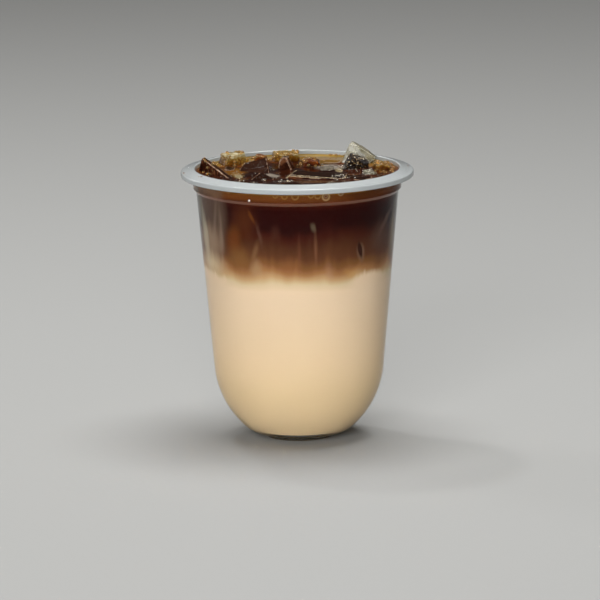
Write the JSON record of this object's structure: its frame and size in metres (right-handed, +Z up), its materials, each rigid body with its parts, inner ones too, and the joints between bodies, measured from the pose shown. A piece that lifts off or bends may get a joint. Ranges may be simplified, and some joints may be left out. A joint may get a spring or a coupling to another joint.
{
  "type": "iced milk tea in a plastic cup",
  "caption": "Round-bottomed clear plastic cup with a wide rim, filled to the brim with milk under dark tea and cracked ice.",
  "frame": {"origin": "centre of the foot on the surface the cup stands on", "axes": "+Z up along the cup's axis; -Y is the side the picture looks at"},
  "size_m": [0.095, 0.095, 0.1182],
  "materials": {
    "clear_plastic": "clear moulded polypropylene, slightly milky, milkiest at the rim",
    "milk": "opaque warm cream liquid behind the clear wall",
    "tea": "dark red-brown liquid, mirror-smooth at its surface",
    "ice": "wet clear cracked ice"
  },
  "bodies": {
    "root": {"cup": "clear_plastic", "milk_layer": "milk", "tea_layer": "tea", "ice_left_shard": "ice", "ice_back_left": "ice", "ice_left_block": "ice", "ice_back_amber": "ice", "ice_centre_slab": "ice", "ice_back_centre": "ice", "ice_back_round": "ice", "ice_front_point": "ice", "ice_front_slab": "ice", "ice_centre_flat": "ice", "ice_tall_clear": "ice", "ice_right_block": "ice", "ice_right_lump": "ice", "ice_right_chip": "ice", "ice_left_low": "ice", "ice_front_left": "ice", "ice_front_edge": "ice", "ice_front_right": "ice", "ice_right_front": "ice"}
  },
  "joints": []
}
